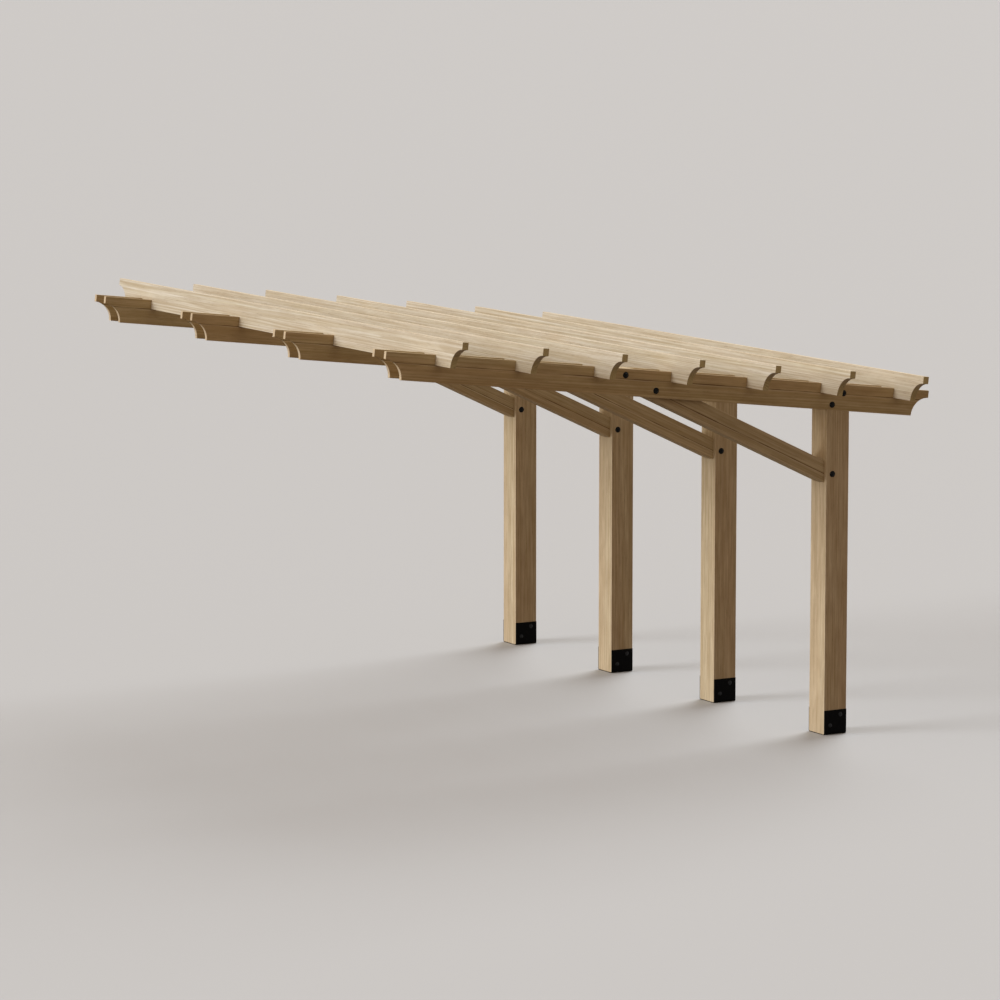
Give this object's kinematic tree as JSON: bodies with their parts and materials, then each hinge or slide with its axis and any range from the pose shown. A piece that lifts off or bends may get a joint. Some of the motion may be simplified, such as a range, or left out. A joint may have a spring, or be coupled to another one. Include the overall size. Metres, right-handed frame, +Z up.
{
  "type": "pergola",
  "caption": "Open timber pergola with a single row of posts, raking braces, paired notched beams that slope up over the posts and cantilever out, and plain rafters with coved ends.",
  "frame": {"origin": "middle of the underside of the first post's steel base, on the ground", "axes": "+Z up, +X along the beams towards their low end, +Y along the rafters from the first post to the last"},
  "size_m": [4.296, 5.147, 2.9308],
  "materials": {
    "timber": "planed, unpainted",
    "black_steel": "satin black"
  },
  "bodies": {
    "root": {"post_1": "timber", "post_2": "timber", "post_3": "timber", "post_4": "timber", "beam_near_1": "timber", "beam_near_2": "timber", "beam_near_3": "timber", "beam_near_4": "timber", "beam_far_1": "timber", "beam_far_2": "timber", "beam_far_3": "timber", "beam_far_4": "timber", "brace_1": "timber", "brace_2": "timber", "brace_3": "timber", "brace_4": "timber", "rafter_1": "timber", "rafter_2": "timber", "rafter_3": "timber", "rafter_4": "timber", "rafter_5": "timber", "rafter_6": "timber", "rafter_7": "timber", "post_base_1": "black_steel", "post_base_2": "black_steel", "post_base_3": "black_steel", "post_base_4": "black_steel", "beam_bolts_1": "black_steel", "beam_bolts_2": "black_steel", "beam_bolts_3": "black_steel", "beam_bolts_4": "black_steel", "brace_bolts_1": "black_steel", "brace_bolts_2": "black_steel", "brace_bolts_3": "black_steel", "brace_bolts_4": "black_steel", "base_bolts_1": "black_steel", "base_bolts_2": "black_steel", "base_bolts_3": "black_steel", "base_bolts_4": "black_steel"}
  },
  "joints": []
}
